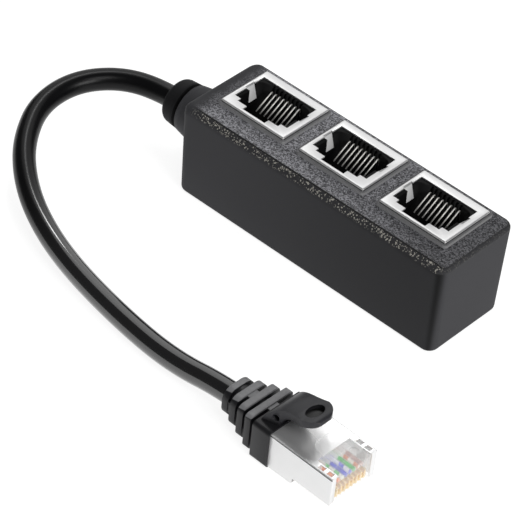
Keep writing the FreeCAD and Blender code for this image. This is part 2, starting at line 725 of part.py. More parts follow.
def boot_hood():
    """The strap that rises over the latch, with an oval dish near its rounded tip."""
    def at(back, rise):
        return Vector(-back, -plug_width, block_top + rise)

    root = -boot_wall / 2
    root_back = block_back - boot_wall
    middle_back = (root_back + hood_crest_back) / 2
    half = hood_thickness / 2
    tip_end = hood_tip_back + half
    crest_inner = hood_crest_back - half
    under_crest = hood_crest_rise - hood_thickness
    under_tip = hood_tip_rise - hood_thickness
    crown = hood_crown_share
    edges = [
        Part.Arc(at(root_back, root), at(middle_back + half, hood_rise_share * hood_crest_rise),
                 at(hood_crest_back, hood_crest_rise)),
        Part.Arc(at(hood_crest_back, hood_crest_rise),
                 at((hood_crest_back + tip_end) / 2, (1 - crown) * hood_crest_rise + crown * hood_tip_rise),
                 at(tip_end, hood_tip_rise)),
        Part.Arc(at(tip_end, hood_tip_rise), at(hood_tip_back, hood_tip_rise - half),
                 at(tip_end, under_tip)),
        Part.Arc(at(tip_end, under_tip),
                 at((crest_inner + tip_end) / 2, (1 - crown) * under_crest + crown * under_tip),
                 at(crest_inner, under_crest)),
        Part.Arc(at(crest_inner, under_crest),
                 at((crest_inner + hood_root_front) / 2 + half, hood_under_share * under_crest),
                 at(hood_root_front, root)),
        Part.LineSegment(at(hood_root_front, root), at(root_back, root)),
    ]
    strap = Part.Face(Part.Wire([e.toShape() for e in edges])).extrude(Vector(0, 2 * plug_width, 0))

    def plan(back, across, rise=-1):
        return Vector(-back, across, block_top + rise)

    wide, waist, foot = hood_half_width, hood_waist_half_width, hood_root_half_width
    plan_back = block_back + 1
    bulge_back, bulge_across = (share * wide for share in hood_tip_curve)
    outline = [
        Part.Arc(plan(hood_widest_back, wide), plan(hood_tip_back + bulge_back, bulge_across),
                 plan(hood_tip_back, 0)),
        Part.Arc(plan(hood_tip_back, 0), plan(hood_tip_back + bulge_back, -bulge_across),
                 plan(hood_widest_back, -wide)),
        Part.Arc(plan(hood_widest_back, -wide), plan(hood_waist_back, -waist), plan(plan_back, -foot)),
        Part.LineSegment(plan(plan_back, -foot), plan(plan_back, foot)),
        Part.Arc(plan(plan_back, foot), plan(hood_waist_back, waist), plan(hood_widest_back, wide)),
    ]
    sheet = Part.Face(Part.Wire([e.toShape() for e in outline])).extrude(Vector(0, 0, hood_tip_rise + 2))
    dish_floor = (hood_crest_rise + hood_tip_rise) / 2 - hood_hole_depth
    oval = Part.Ellipse(plan(hood_hole_back, 0, dish_floor), hood_hole_half_width, hood_hole_half_length)
    oval.XAxis = Vector(0, 1, 0)
    dish = Part.Face(Part.Wire(oval.toShape())).extrude(Vector(0, 0, hood_thickness + hood_hole_depth))
    eye = Part.makeCylinder(hood_eye_radius, 2 * plug_width, at(hood_eye_back, hood_eye_rise),
                            Vector(0, 1, 0))
    return cut(strap.common(sheet), [dish, eye])


def plug_boot():
    """The soft boot: a block round the plug's heel, ribs over the cable and the hood."""
    half_height = (shield_top_outer - heel_outer) / 2 + boot_wall
    block = rounded_block(plug_half + boot_wall, half_height, block_corner_radius,
                          lambda a, b: Vector(-boot_front, a, plug_axis_height + b),
                          Vector(-block_length, 0, 0))
    core_start = block_back - web_overlap
    core = Part.makeCylinder(boot_core_radius, boot_front + boot_length - core_start,
                             Vector(-core_start, 0, plug_axis_height), Vector(-1, 0, 0))
    pieces = [block, core]
    pieces += [boot_rib(index) for index in range(rib_count)]
    pieces += [boot_webs(index) for index in range(rib_count)]
    pocket = box(-plug_length, 1, -plug_half, plug_half, heel_outer, shield_top_outer)
    solid = fuse([cut(fuse(pieces), [pocket]), boot_hood()])
    return at_plug(solid).cut(cable_tube(bore_radius))


def cable_jacket():
    """The round black jacket, one tube from the collar to the plug's inside."""
    tube = cable_tube(cable_radius)
    points = cable_route()
    radii = bend_radii(points)
    length = bent_path(points, radii).Length
    expected = length * math.pi * cable_radius ** 2
    print("cable length %.1f, volume %.1f of %.1f" % (length, tube.Volume, expected))
    print("cable radii", [round(r, 1) for r in radii])
    return tube


def build():
    """Every piece by name."""
    parts = {
        "housing_overmould": housing_overmould(),
        "circuit_board": circuit_board(),
        "inner_leads": inner_leads(),
        "cable_jacket": cable_jacket(),
        "plug_boot": plug_boot(),
        "plug_body": at_plug(plug_body()),
        "plug_shield": at_plug(plug_shield()),
        "wire_guide": at_plug(wire_guide()),
    }
    for number, x in enumerate(socket_places, 1):
        parts["socket_shield_%d" % number] = socket_shield(x)
        parts["socket_insert_%d" % number] = socket_insert(x)
        for index, place in enumerate(contact_places, 1):
            parts["contact_%d_%d" % (number, index)] = contact(x + mouth_shift + place)
    for index, (place, start) in enumerate(zip(contact_places, wire_starts()), 1):
        parts["plug_blade_%d" % index] = at_plug(plug_blade(place))
        parts["wire_%d" % index] = at_plug(plug_wire(place, start))
    return parts


os.makedirs("parts", exist_ok=True)
for name, shape in build().items():
    solids = shape.Solids
    if not shape.isValid() or not solids:
        raise ValueError("%s is not a sound solid" % name)
    whole = solids[0] if len(solids) == 1 else Part.makeCompound(solids)
    whole.exportStep("parts/%s.step" % name)
    print("%-20s solids %d volume %.2f" % (name, len(solids), whole.Volume))
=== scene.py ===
"""Dresses a three-way network splitter: housing, sockets, lead, boot and plug, on a pale studio floor.

Metres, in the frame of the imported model: X along the housing, Y across it, Z up.
"""
import math

import bmesh
import bpy
from mathutils import Matrix, Vector


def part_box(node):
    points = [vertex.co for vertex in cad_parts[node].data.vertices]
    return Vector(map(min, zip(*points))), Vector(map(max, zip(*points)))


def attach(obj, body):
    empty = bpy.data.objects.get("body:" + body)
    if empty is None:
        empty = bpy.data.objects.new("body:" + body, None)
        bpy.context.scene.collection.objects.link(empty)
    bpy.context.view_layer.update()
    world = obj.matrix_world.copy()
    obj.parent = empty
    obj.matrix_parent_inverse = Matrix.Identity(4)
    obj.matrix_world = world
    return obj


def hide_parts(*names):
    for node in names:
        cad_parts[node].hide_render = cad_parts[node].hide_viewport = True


bl_info = {
    "name": "Network splitter",
    "version": (1, 0, 0),
    "blender": (4, 5, 0),
    "location": "3D View > Sidebar > Splitter",
    "description": "Builds the finish of a three-way network splitter round its packed model",
    "category": "Object",
}

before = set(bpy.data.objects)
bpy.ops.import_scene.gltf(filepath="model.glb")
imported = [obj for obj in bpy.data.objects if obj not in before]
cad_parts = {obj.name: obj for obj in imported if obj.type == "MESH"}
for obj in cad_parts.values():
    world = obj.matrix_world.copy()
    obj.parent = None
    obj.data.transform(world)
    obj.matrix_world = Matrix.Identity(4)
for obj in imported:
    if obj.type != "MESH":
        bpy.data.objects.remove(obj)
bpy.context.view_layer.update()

MM = 0.001
SOCKETS = (1, 2, 3)
LANES = range(1, 9)


def lowest(node):
    """The lowest corner of a node's box."""
    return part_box(node)[0]


def highest(node):
    """The highest corner of a node's box."""
    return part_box(node)[1]


def middle_x(node):
    """The middle of a node's box along the housing."""
    return (lowest(node).x + highest(node).x) / 2


def middle_y(node):
    """The middle of a node's box across the housing."""
    return (lowest(node).y + highest(node).y) / 2


# The housing: the top that the plinths stand on, both ends and the near side
PLINTH_HEIGHT = 0.8 * MM
HOUSING_TOP = highest("housing_overmould").z - PLINTH_HEIGHT
COLLAR_END = lowest("housing_overmould").x
HOUSING_END = highest("housing_overmould").x
HOUSING_SIDE = lowest("housing_overmould").y

# The row of sockets
FACE_LEVEL = highest("socket_shield_1").z
ROW_MIDDLE = middle_y("socket_shield_1")
FIRST_SOCKET = middle_x("socket_shield_1")
SOCKET_PITCH = lowest("socket_shield_2").x - lowest("socket_shield_1").x
SHIELD_HALF_X = highest("socket_shield_1").x - FIRST_SOCKET
SHIELD_HALF_Y = highest("socket_shield_1").y - ROW_MIDDLE

# Where the tip of a shield's far spring tab lies: out from the socket's middle, and down from its face
TAB_OUT = (3.0 * MM, 6.5 * MM)
TAB_DEPTH = (2.0 * MM, 4.0 * MM)

# The boot and the plug. The first three are read once their turn is taken out
BOOT_TAIL = 19.1 * MM       # the boot's thin end, in X
DISH_MIDDLE = 37.96 * MM    # the dish in the hood, in X
PLUG_LINE = -47.45 * MM     # the plug's axis, in Y
SHELL_HALF_WIDTH = 5.8 * MM
SHELL_TOP = highest("plug_shield").z

# The lead: its route's control points in millimetres, from the collar to the plug, and its length in metres
CABLE_ROUTE = [
    (-37.0, 0.0, 10.6), (-46.2, 0.0, 10.6), (-55.2, -3.4, 10.8), (-60.9, -11.2, 10.5), (-61.3, -20.7, 9.4),
    (-56.6, -29.1, 7.9), (-50.3, -35.1, 6.4), (-41.9, -40.0, 4.7), (-30.2, -43.8, 3.0), (-14.0, -46.8, 2.4),
    (2.7, -48.7, 2.6), (16.51, -47.9, 4.35), (30.51, -48.27, 4.35),
]
LEAD_STEPS = 16             # of its line, from one control point to the next
LEAD_ROUNDNESS = 10         # of its section, as Blender counts a bevel's resolution

# The wires in the plug, lane by lane: the colour of each and of the rings round it
WIRE_COLOURS = {
    "white_orange": ((0.92, 0.86, 0.88), (0.75, 0.4, 0.5)),
    "orange": ((0.95, 0.24, 0.02), (0.9, 0.2, 0.01)),
    "white_green": ((0.85, 0.9, 0.82), (0.05, 0.6, 0.12)),
    "blue": ((0.03, 0.06, 0.75), (0.02, 0.05, 0.6)),
    "white_blue": ((0.85, 0.85, 0.95), (0.08, 0.1, 0.8)),
    "green": ((0.01, 0.6, 0.08), (0.01, 0.5, 0.06)),
    "white_brown": ((0.92, 0.82, 0.75), (0.8, 0.28, 0.14)),
    "brown": ((0.6, 0.38, 0.34), (0.55, 0.33, 0.3)),
}
INNER_LEAD_COLOURS = ((0.5, 0.3, 0.15), (0.6, 0.35, 0.18))
BLACK = (0.0, 0.0, 0.0)
WHITE = (1.0, 1.0, 1.0)

# How a node's mesh is made ready, with angles in degrees
MERGE_REACH = 0.0005 * MM
FLAT_ANGLE = 1.0            # faces that meet at less are one flat area
SHARP_ANGLE = 32.0          # edges that are sharper stay sharp in the shading
ROUNDED_ANGLE = 40.0        # edges that are sharper are rounded
ROUND_SEGMENTS = 2

# The width of the small round on each piece's edges
SHIELD_EDGE = 0.06 * MM
BOOT_EDGE = 0.12 * MM
MOULDING_EDGE = 0.08 * MM
SHELL_EDGE = 0.05 * MM
GUIDE_EDGE = 0.05 * MM
BLADE_EDGE = 0.04 * MM

# A contact wire's sweep
BEND_STEPS = 8
WIRE_SIDES = 12
WIRE_SHARP_ANGLE = 50.0

# The stage: the floor's half width, the gap under the housing, and each lamp's size and place in metres
FLOOR_REACH = 3.0
FLOOR_GAP = 0.02 * MM
LAMPS = {
    "key": ((1.2, 1.1), (-0.43, 0.62, 0.62)),
    "strip": ((0.1, 0.22), (-0.36, 0.39, 0.86)),
    "overhead": ((0.3, 0.3), (0.43, -0.28, 0.76)),
    "side": ((0.35, 0.35), (0.72, -0.15, 0.45)),
}
LAMP_AIM = (0.0, -0.02, 0.01)

# The camera: its own right and up, and its place in millimetres, fitted to the corners of the sockets
CAMERA_RIGHT = (0.7323, 0.6765, 0.0785)
CAMERA_UP = (-0.4914, 0.4451, 0.7486)
CAMERA_PLACE = (268.9, -356.9, 384.9)
SENSOR_WIDTH = 36.0
NEAR_CLIP = 0.01


class Shade:
    """A socket of a node tree that can be used in arithmetic."""

    def __init__(self, tree, socket):
        self.tree = tree
        self.socket = socket

    def math(self, operation, *others):
        """A Math node on this value and up to two more."""
        return math_node(self.tree, operation, self, *others)

    def __add__(self, other):
        return self.math("ADD", other)

    __radd__ = __add__

    def __sub__(self, other):
        return self.math("SUBTRACT", other)

    def __rsub__(self, other):
        return math_node(self.tree, "SUBTRACT", other, self)

    def __mul__(self, other):
        return self.math("MULTIPLY", other)

    __rmul__ = __mul__

    def __truediv__(self, other):
        return self.math("DIVIDE", other)

    def __rtruediv__(self, other):
        return math_node(self.tree, "DIVIDE", other, self)

    def __pow__(self, other):
        return self.math("POWER", other)

    def steps(self, low, high):
        """A smooth rise from 0 at low to 1 at high."""
        return add_node(self.tree, "ShaderNodeMapRange", "Result",
                        {"interpolation_type": "SMOOTHSTEP", "clamp": True},
                        Value=self, From_Min=low, From_Max=high)


def math_node(tree, operation, *values):
    """A Math node on up to three Shades or numbers."""
    node = tree.nodes.new("ShaderNodeMath")
    node.operation = operation
    for socket, value in zip(node.inputs, values):
        plug_in(tree, socket, value)
    return Shade(tree, node.outputs[0])


def plug_in(tree, socket, value):
    """Links a Shade to a socket, or sets the socket's own value."""
    if isinstance(value, Shade):
        tree.links.new(value.socket, socket)
    elif socket.type == "RGBA":
        socket.default_value = (*value[:3], 1.0)
    else:
        socket.default_value = value


def find_socket(sockets, name):
    """A socket by its identifier, or by its name with underscores for spaces."""
    return next(socket for socket in sockets if name in (socket.identifier, socket.name.replace(" ", "_")))


def add_node(tree, kind, output, settings=None, **inputs):
    """Any other node with its settings and sockets filled, as the Shade of one of its outputs."""
    node = tree.nodes.new(kind)
    for name, value in (settings or {}).items():
        setattr(node, name, value)
    for name, value in inputs.items():
        plug_in(tree, find_socket(node.inputs, name), value)
    return Shade(tree, find_socket(node.outputs, output))


def toned(colour, factor):
    """A colour made lighter or darker."""
    return tuple(factor * part for part in colour)


class Finish:
    """A material under construction: its coordinates, mixes and the final shader."""

    def __init__(self, name):
        self.material = bpy.data.materials.new(name)
        self.material.use_nodes = True
        self.tree = self.material.node_tree
        self.shader = self.tree.nodes["Principled BSDF"]

    def place(self, turn=0.0, scale=(1.0, 1.0, 1.0)):
        """Object coordinates, turned about Z and scaled."""
        coords = add_node(self.tree, "ShaderNodeTexCoord", "Object")
        return add_node(self.tree, "ShaderNodeMapping", "Vector", {"vector_type": "POINT"},
                        Vector=coords, Rotation=(0.0, 0.0, turn), Scale=scale)

    def split(self, vector):
        """The three parts of a vector or a colour."""
        first = add_node(self.tree, "ShaderNodeSeparateXYZ", "X", Vector=vector)
        return [Shade(self.tree, socket) for socket in first.socket.node.outputs]

    def noise(self, vector, scale, detail=2.0, roughness=0.5):
        """Fine mottling at so many cells a metre."""
        return add_node(self.tree, "ShaderNodeTexNoise", "Fac",
                        Vector=vector, Scale=scale, Detail=detail, Roughness=roughness)

    def cells(self, vector, scale, output="Distance"):
        """Cells round scattered points: the distance to the nearest, or Color, a random colour for each."""
        return add_node(self.tree, "ShaderNodeTexVoronoi", output, Vector=vector, Scale=scale)

    def facing(self, blend):
        """How far the surface turns away from the eye, for the rims of clear plastic."""
        return add_node(self.tree, "ShaderNodeLayerWeight", "Facing", Blend=blend)

    def mix(self, factor, low, high):
        """A colour between two others."""
        return add_node(self.tree, "ShaderNodeMix", "Result_Color", {"data_type": "RGBA"},
                        Factor_Float=factor, A_Color=low, B_Color=high)

    def bump(self, height, strength, distance):
        """A Bump node's normal."""
        return add_node(self.tree, "ShaderNodeBump", "Normal",
                        Height=height, Strength=strength, Distance=distance)

    def set(self, **inputs):
        """Fills the shader's sockets, with underscores for the spaces in their names."""
        for name, value in inputs.items():
            plug_in(self.tree, find_socket(self.shader.inputs, name), value)
        return self.material


def moulded_black(look):
    """The housing's moulding: spark texture on top, painted glints and painted shade round its edge, smooth
    dark sides with painted light and shade.
    """
    finish = Finish("moulded_black")
    here = finish.place()
    x, y, z = finish.split(here)
    sparks = finish.split(finish.cells(here, 1 / look.grain_size, "Color"))
    pits = finish.cells(here, 0.8 / look.grain_size)
    wear = finish.noise(here, 60.0, detail=3.0)
    patch = finish.noise(here, 420.0)

    # Where each finish lies: below the top, along from the collar's end, and up on the plinths
    depth = HOUSING_TOP - z
    upper = 1 - (depth + patch * (0.5 * MM)).steps(1.1 * MM, 1.7 * MM)
    rim = depth.steps(0.03 * MM, 0.1 * MM)
    edge_shade_line = rim * (1 - depth.steps(0.14 * MM, 0.26 * MM))
    reach = x - COLLAR_END
    # Nearer the collar the top's texture is left out, as painted shade
    past_neck = (reach + patch * (1.5 * MM)).steps(13.0 * MM, 17.0 * MM)
    run = reach.steps(8.0 * MM, HOUSING_END - COLLAR_END)
    root = reach.steps(4.35 * MM, 4.5 * MM)
    ring = reach.steps(3.5 * MM, 3.65 * MM) * (1 - root)
    far_end = x.steps(HOUSING_END - 1.5 * MM, HOUSING_END - 0.7 * MM)
    near_side = 1 - y.steps(HOUSING_SIDE + 0.3 * MM, HOUSING_SIDE + 1.8 * MM)
    corner_shade = x.steps(HOUSING_END - 2.2 * MM, HOUSING_END - 1.0 * MM) * near_side
    off_end_face = 1 - far_end * (1 - near_side)
    plinth = z.steps(HOUSING_TOP + 0.05 * MM, HOUSING_TOP + 0.2 * MM)
    ledge = z.steps(HOUSING_TOP + PLINTH_HEIGHT - 0.15 * MM, HOUSING_TOP + PLINTH_HEIGHT - 0.02 * MM)
    textured = upper * past_neck * (1 - 0.9 * plinth)

    # The top's grain, with painted shade darker towards the far end; on its rounded edge, painted glints and
    # painted shade
    fleck = (sparks[0] * 0.75 + sparks[1] * 0.25 + patch * 0.1 - 0.05).steps(0.2, 0.95)
    grain = finish.mix(fleck, toned(look.top_colour, 0.5), toned(look.top_colour, 2.7))
    grain = finish.mix(0.6 * run ** 3, grain, BLACK)
    glint = (sparks[2] + 0.12 * patch).steps(0.82, 1.02) * (1 - 0.9 * far_end)
    # Painted shade on the rounded edge, with painted glints
    edge = finish.mix(glint, toned(look.top_colour, 0.22), look.glint_colour)
    # A painted shadow line along the rounded edge, just below the top
    edge = finish.mix(edge_shade_line * (1 - 0.7 * far_end), edge, toned(look.top_colour, 0.1))

    # The smooth sides with painted light and shade, the collar with its ring groove, and the plinths
    # Painted light and shade: lighter near the collar and on the far end face, darker towards the far end
    side = finish.mix(run * off_end_face, toned(look.side_colour, 1.3), toned(look.side_colour, 0.7))
    side = finish.mix(0.15 * wear, side, BLACK)
    # A painted shadow down the rounded corner between the near side and the far end
    side = finish.mix(corner_shade * off_end_face, side, toned(look.side_colour, 0.1))
    # Painted light: the sides lighter round the collar
    side = finish.mix(reach.steps(7.0 * MM, 14.0 * MM), toned(look.side_colour, 1.6), side)
    # Painted shade: the collar's end darker, and black in its ring groove
    neck = finish.mix(ring, toned(look.side_colour, 0.4), BLACK)
    side = finish.mix(root, neck, side)
    plain = finish.mix(plinth, side, finish.mix(ledge, look.plinth_colour, look.ledge_colour))
    return finish.set(
        Base_Color=finish.mix(textured, plain, finish.mix(rim, grain, edge)),
        Roughness=0.72 - 0.08 * wear,
        Normal=finish.bump(textured * (fleck + pits), 0.6, 0.07 * MM),
        Specular_IOR_Level=0.16,
    )


def glossy_jacket(look):
    """The cable's smooth black jacket, glossier along the stretch that lies flat."""
    finish = Finish("glossy_jacket")
    here = finish.place()
    x = finish.split(here)[0]
    dull = finish.noise(here, 220.0, detail=3.0, roughness=0.6)
    slow = finish.noise(here, 45.0, detail=1.0, roughness=0.4)
    return finish.set(
        Base_Color=finish.mix(dull, look.jacket_colour, toned(look.jacket_colour, 1.6)),
        Roughness=0.26 + 0.06 * slow,
        Coat_Weight=x.steps(-50.0 * MM, -25.0 * MM),
        Normal=finish.bump(slow + 0.05 * dull, 0.25, 0.12 * MM),
        Specular_IOR_Level=0.2,
        Coat_Roughness=0.08,
        Coat_IOR=1.8,
    )


def soft_boot(look, turn):
    """The boot's soft moulding: painted light on the crowns of its ribs and on the hood, painted shade in
    the hood's dish, dark down in the slots.
    """
    finish = Finish("soft_boot")
    here = finish.place()
    x, y, z = finish.split(finish.place(turn=-turn))
    peel = finish.noise(here, 1500.0)
    slow = finish.noise(here, 150.0)
    reach = x - BOOT_TAIL

    # The ribs' crowns rise away from the thin end, but for the first slot, and the hood stands above them
    rib_slope = 0.113
    tail_slot = reach.steps(1.3 * MM, 1.4 * MM) * (1 - reach.steps(2.5 * MM, 2.6 * MM))
    on_ribs = 1 - reach.steps(9.9 * MM, 10.1 * MM)
    crown = (z - reach * rib_slope).steps(6.9 * MM, 7.0 * MM) * (1 - tail_slot) * on_ribs
    hood = z.steps(8.9 * MM, 10.0 * MM)
    dish_x = (x - DISH_MIDDLE) * (1 / (1.4 * MM))
    dish_y = (y - PLUG_LINE) * (1 / (2.1 * MM))
    dish = 1 - (dish_x ** 2 + dish_y ** 2).steps(0.9, 1.1)

    skin = finish.mix(slow, look.boot_colour, toned(look.boot_colour, 1.5))
    # Painted light: the hood lighter than the rest of the boot
    skin = finish.mix(hood, skin, toned(look.boot_colour, 3.0))
    # Painted shade in the hood's dish
    skin = finish.mix(dish, skin, toned(look.boot_colour, 0.1))
    # Painted light on the ribs' crowns, mottled
    highlit = finish.mix(peel, look.crown_light_colour, toned(look.crown_light_colour, 1.4))
    return finish.set(
        Base_Color=finish.mix(crown, skin, highlit),
        Roughness=0.36 + 0.12 * slow,
        Normal=finish.bump(peel, 0.2, 0.03 * MM),
        Specular_IOR_Level=0.34,
    )


def plated_sheet(look):
    """The sockets' nickel-plated sheet: satin, with a faint rolling grain, and painted light on the sprung
    tabs, which are paler and less metallic.
    """
    finish = Finish("plated_sheet")
    here = finish.place()
    x, y, z = finish.split(here)
    rolling = finish.noise(finish.place(scale=(0.12, 1.0, 1.0)), 9000.0)
    cloud = finish.noise(here, 260.0)

    # The outer walls, which the plinth shades below the face, and the tabs, which lie deeper inside
    out_x = (x - FIRST_SOCKET).math("PINGPONG", SOCKET_PITCH / 2)
    out_y = (y - ROW_MIDDLE).math("ABSOLUTE")
    wall_x = out_x.steps(SHIELD_HALF_X - 0.12 * MM, SHIELD_HALF_X)
    wall_y = out_y.steps(SHIELD_HALF_Y - 0.12 * MM, SHIELD_HALF_Y)
    wall = wall_x.math("MAXIMUM", wall_y)
    depth = FACE_LEVEL - z
    below = depth.steps(0.29 * MM, 0.33 * MM)
    spring = depth.steps(0.26 * MM, 0.34 * MM) * (1 - wall)

    plated = finish.mix(cloud, toned(look.sheet_colour, 0.93), look.sheet_colour)
    # Painted light: the tabs paler than the plating
    sprung = finish.mix(spring, plated, look.lit_spring_colour)
    return finish.set(
        Base_Color=finish.mix(wall * below, sprung, look.gap_colour),
        Metallic=0.72 - 0.57 * spring,
        Roughness=0.34 + 0.1 * rolling,
        Normal=finish.bump(rolling, 0.08, 0.02 * MM),
    )


def bright_shell(look):
    """The plug's folded shell: bright plating with a soft reflection and painted shade in a dark line along
    its folds.
    """
    finish = Finish("bright_shell")
    y, z = finish.split(finish.place(turn=-look.plug_turn))[1:]
    brush = finish.noise(finish.place(turn=-look.plug_turn, scale=(1.0, 0.1, 1.0)), 7000.0)
    smear = finish.noise(finish.place(), 320.0)
    out = (y - PLUG_LINE).math("ABSOLUTE")
    side = out.steps(SHELL_HALF_WIDTH - 0.16 * MM, SHELL_HALF_WIDTH - 0.1 * MM)
    depth = SHELL_TOP - z
    top = 1 - depth.steps(0.03 * MM, 0.07 * MM)
    # Painted shade: a dark line along the upper folds of the sides
    fold = side * depth.steps(0.1 * MM, 0.16 * MM) * (1 - depth.steps(0.36 * MM, 0.42 * MM))
    plated = finish.mix(smear, toned(look.shell_colour, 0.95), look.shell_colour)
    return finish.set(
        Base_Color=finish.mix(fold, plated, look.fold_shade_colour),
        Metallic=0.45 + 0.2 * top,
        Roughness=0.28 + 0.07 * smear + 0.03 * brush,
        Normal=finish.bump(brush, 0.05, 0.02 * MM),
    )


def black_insert():
    """The moulding inside a socket, near black with fine specks."""
    finish = Finish("black_insert")
    speck = finish.noise(finish.place(), 900.0)
    return finish.set(
        Base_Color=finish.mix(speck, (0.0015, 0.0015, 0.0015), (0.004, 0.004, 0.0045)),
        Roughness=0.5 + 0.15 * speck,
        Specular_IOR_Level=0.15,
    )


def contact_metal(name, colour, roughness, metallic=1.0, tip_level=None):
    """Plated contact wire or blade with a little tarnish, and painted shade below a tip level where one is
    given.
    """
    finish = Finish(name)
    here = finish.place()
    tarnish = finish.noise(here, 1200.0, detail=3.0, roughness=0.6)
    plated = finish.mix(tarnish.steps(0.35, 0.75), colour, toned(colour, 0.8))
    if tip_level is not None:
        z = finish.split(here)[2]
        # Painted shade: darker deeper down in the socket, below the tip level
        plated = finish.mix(z.steps(tip_level, tip_level + 1.9 * MM), toned(colour, 0.12), plated)
    return finish.set(Base_Color=plated, Metallic=metallic, Roughness=roughness + 0.12 * tarnish)


def clear_moulding(name, tint, alpha, glow):
    """Clear plastic, denser where it is moulded unevenly, with painted shade on its rims and a painted glow
    of its own.
    """
    finish = Finish(name)
    flow = finish.noise(finish.place(scale=(0.4, 1.0, 1.0)), 500.0)
    rim = finish.facing(0.35) ** 2
    body = finish.mix(flow, tint, toned(tint, 0.92))
    return finish.set(
        # Painted shade on the rims, where the surface turns from the eye
        Base_Color=finish.mix(rim, body, toned(tint, 0.75)),
        Roughness=0.05 + 0.06 * flow,
        Alpha=alpha * (0.7 + 0.6 * flow) + 0.5 * rim,
        # A painted glow: the plastic gives out a little light of its own
        Emission_Color=tint,
        Emission_Strength=glow,
        IOR=1.58,
    )


def insulation(name, colour, ring_colour, turn=0.0):
    """One wire's insulation, ringed with a second colour, which is close to the first on the plain wires."""
    finish = Finish(name)
    x, y = finish.split(finish.place(turn=-turn))[:2]
    ring_pitch = 2.4 * MM
    ring_slant = 1 / MM
    rings = (x * (math.tau / ring_pitch) + y * ring_slant).math("SINE").steps(0.0, 0.25)
    blush = finish.noise(finish.place(), 700.0)
    return finish.set(
        Base_Color=finish.mix(rings, colour, ring_colour),
        Roughness=0.32 + 0.1 * blush,
    )


def board_mask():
    """Green solder mask with faint tracks below it."""
    finish = Finish("board_mask")
    tracks = finish.cells(finish.place(scale=(1.0, 4.0, 1.0)), 260.0)
    return finish.set(
        Base_Color=finish.mix(tracks.steps(0.1, 0.5), (0.012, 0.1, 0.035), (0.02, 0.16, 0.06)),
        Roughness=0.3 + 0.1 * tracks,
    )


def floor_paint(look):
    """The studio's pale floor."""
    finish = Finish("floor_paint")
    mottle = finish.noise(finish.place(), 8.0)
    return finish.set(
        Base_Color=finish.mix(mottle, look.floor_colour, toned(look.floor_colour, 0.99)),
        Roughness=0.9,
        Specular_IOR_Level=0.1,
        Emission_Color=WHITE,
        Emission_Strength=look.floor_glow,
    )


def linked(name, data):
    """A new object for a mesh, curve, lamp or camera, in the scene."""
    thing = bpy.data.objects.new(name, data)
    bpy.context.scene.collection.objects.link(thing)
    return thing


def smooth(mesh, sharp_angle=SHARP_ANGLE):
    """Smooth shading that keeps edges sharper than an angle."""
    mesh.shade_smooth()
    mesh.set_sharp_from_angle(angle=math.radians(sharp_angle))


def merged_copy(node, flat=False):
    """A node's mesh with its loose triangles joined, and each flat area made one face where flat is set."""
    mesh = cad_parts[node].data.copy()
    mesh.materials.clear()
    work = bmesh.new()
    work.from_mesh(mesh)
    bmesh.ops.remove_doubles(work, verts=work.verts, dist=MERGE_REACH)
    if flat:
        angle = math.radians(FLAT_ANGLE)
        bmesh.ops.dissolve_limit(work, angle_limit=angle, verts=work.verts, edges=work.edges)
    work.to_mesh(mesh)
    work.free()
    return mesh


def joined_copy(name, nodes):
    """One mesh that holds merged copies of several nodes."""
    mesh = bpy.data.meshes.new(name)
    work = bmesh.new()
    for node in nodes:
        work.from_mesh(merged_copy(node, flat=True))
    work.to_mesh(mesh)
    work.free()
    return mesh


def bevelled(piece, width):
    """Rounds a piece's sharp edges and bakes the result into its mesh."""
    modifier = piece.modifiers.new("soft_edges", "BEVEL")
    modifier.width = width
    modifier.segments = ROUND_SEGMENTS
    modifier.limit_method = "ANGLE"
    modifier.angle_limit = math.radians(ROUNDED_ANGLE)
    settle(piece)


def settle(piece):
    """Replaces a piece's mesh with the result of its modifiers."""
    bpy.context.view_layer.update()
    shape = piece.evaluated_get(bpy.context.evaluated_depsgraph_get())
    mesh = bpy.data.meshes.new_from_object(shape)
    piece.modifiers.clear()
    piece.data = mesh


def finish_piece(piece, material, nodes):
    """Gives a piece its material and ties it to the model."""
    piece.data.materials.clear()
    piece.data.materials.append(material)
    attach(piece, "root")
    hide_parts(*nodes)


def dressed(name, node, material, edge=0.0):
    """A smooth-shaded copy of one node, with its sharp edges rounded where edge is set."""
    piece = linked(name, merged_copy(node, flat=edge > 0))
    if edge:
        bevelled(piece, edge)
    smooth(piece.data)
    finish_piece(piece, material, [node])
    return piece


class FieldTree:
    """A Geometry Nodes tree under construction, with named inputs for its sizes."""

    def __init__(self, name):
        self.tree = bpy.data.node_groups.new(name, "GeometryNodeTree")
        self.tree.interface.new_socket("Geometry", in_out="INPUT", socket_type="NodeSocketGeometry")
        self.tree.interface.new_socket("Geometry", in_out="OUTPUT", socket_type="NodeSocketGeometry")
        self.group_in = self.tree.nodes.new("NodeGroupInput")
        self.group_out = self.tree.nodes.new("NodeGroupOutput")
        self.identifiers = {}

    def size(self, name, kind="NodeSocketFloat"):
        """A named input of the tree, as a Shade."""
        socket = self.tree.interface.new_socket(name, in_out="INPUT", socket_type=kind)
        self.identifiers[name] = socket.identifier
        return Shade(self.tree, self.group_in.outputs[name])

    def geometry(self):
        """The geometry that the modifier sits on."""
        return Shade(self.tree, self.group_in.outputs["Geometry"])

    def add(self, kind, output, settings=None, **inputs):
        """One node of the tree."""
        return add_node(self.tree, kind, output, settings, **inputs)

    def finish(self, shape):
        """Ends the tree in Realize Instances and Set Material."""
        material = self.size("Material", "NodeSocketMaterial")
        real = self.add("GeometryNodeRealizeInstances", "Geometry", Geometry=shape)
        painted = self.add("GeometryNodeSetMaterial", "Geometry", Geometry=real, Material=material)
        self.tree.links.new(painted.socket, self.group_out.inputs["Geometry"])

    def apply(self, piece, **sizes):
        """Runs the tree on a piece with these sizes and keeps the result as a plain mesh."""
        modifier = piece.modifiers.new(self.tree.name, "NODES")
        modifier.node_group = self.tree
        for name, value in sizes.items():
            modifier[self.identifiers[name.replace("_", " ")]] = value
        settle(piece)


